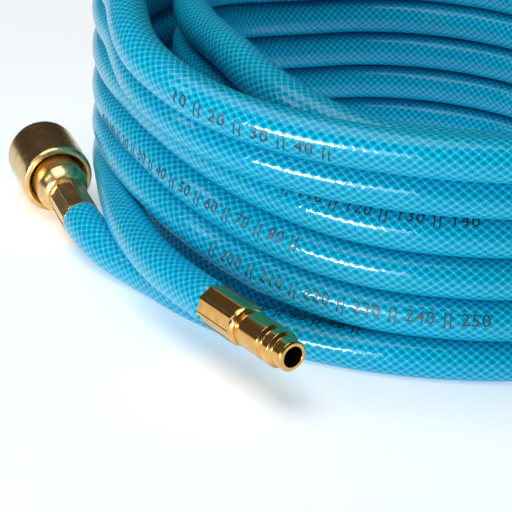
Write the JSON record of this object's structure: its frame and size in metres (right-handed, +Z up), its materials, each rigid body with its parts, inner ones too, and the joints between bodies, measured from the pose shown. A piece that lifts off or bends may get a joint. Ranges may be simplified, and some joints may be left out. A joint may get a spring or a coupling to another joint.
{
  "type": "coiled air hose",
  "caption": "Braided air hose wound into a flat coil, with a spring-sleeve quick coupling on its first end and a grooved plug on its last, each held by a crimped ferrule.",
  "frame": {"origin": "on the coil's axis, at the level of the face it rests on", "axes": "+Z is up, along the coil's axis. +Y is away from the side where both fittings lie in front. +X is to the right seen from that side."},
  "size_m": [0.2892, 0.2921, 0.0983],
  "materials": {
    "hose": "glossy soft plastic over a woven braid",
    "plated_brass": "satin nickel-tinted brass, turned",
    "brass": "bright turned brass",
    "spring_steel": "drawn spring wire",
    "ball_steel": "polished ball",
    "seal_rubber": "moulded nitrile rubber",
    "nylon": "natural nylon washer"
  },
  "bodies": {
    "hose": {"hose_coil": "hose", "hose_coupling_end": "hose", "hose_plug_end": "hose", "coupling_body": "plated_brass", "coupling_tail": "plated_brass", "coupling_ferrule": "plated_brass", "tail_washer": "nylon", "snap_ring": "spring_steel", "nose_seal": "seal_rubber", "plug_nipple": "brass", "plug_ferrule": "brass"},
    "sleeve_spring": {"sleeve_spring": "spring_steel"},
    "sleeve": {"locking_sleeve": "plated_brass"},
    "valve": {"valve_poppet": "brass", "valve_seal": "seal_rubber", "valve_spring": "spring_steel"},
    "ball_1": {"locking_ball_1": "ball_steel"},
    "ball_2": {"locking_ball_2": "ball_steel"},
    "ball_3": {"locking_ball_3": "ball_steel"},
    "ball_4": {"locking_ball_4": "ball_steel"}
  },
  "joints": [
    {"name": "sleeve_spin", "type": "hinge", "parent": "hose", "child": "sleeve_spring", "pos_m": [-0.14042, -0.0096, 0.01403], "axis": [0.4538, -0.8868, -0.0872], "continuous": true},
    {"name": "sleeve_slide", "type": "slide", "parent": "sleeve_spring", "child": "sleeve", "axis": [0.4538, -0.8868, -0.0872], "range_m": [0, 0.0042], "stiffness_N_per_m": 2000, "springref_m": -0.003, "deforming": ["sleeve_spring"]},
    {"name": "valve_slide", "type": "slide", "parent": "hose", "child": "valve", "axis": [0.4538, -0.8868, -0.0872], "range_m": [0, 0.003], "stiffness_N_per_m": 800, "springref_m": -0.003, "deforming": ["valve_spring"]},
    {"name": "ball_1_slide", "type": "slide", "parent": "hose", "child": "ball_1", "axis": [0.6014, 0.377, -0.7044], "range_m": [0, 0.00103]},
    {"name": "ball_2_slide", "type": "slide", "parent": "hose", "child": "ball_2", "axis": [0.6576, 0.2673, 0.7044], "range_m": [0, 0.00103]},
    {"name": "ball_3_slide", "type": "slide", "parent": "hose", "child": "ball_3", "axis": [-0.6014, -0.377, 0.7044], "range_m": [0, 0.00103]},
    {"name": "ball_4_slide", "type": "slide", "parent": "hose", "child": "ball_4", "axis": [-0.6576, -0.2673, -0.7044], "range_m": [0, 0.00103]}
  ],
  "couplings": [
    {"joint": "ball_1_slide", "follows": "sleeve_slide", "ratio": 0.244},
    {"joint": "ball_2_slide", "follows": "sleeve_slide", "ratio": 0.244},
    {"joint": "ball_3_slide", "follows": "sleeve_slide", "ratio": 0.244},
    {"joint": "ball_4_slide", "follows": "sleeve_slide", "ratio": 0.244}
  ]
}
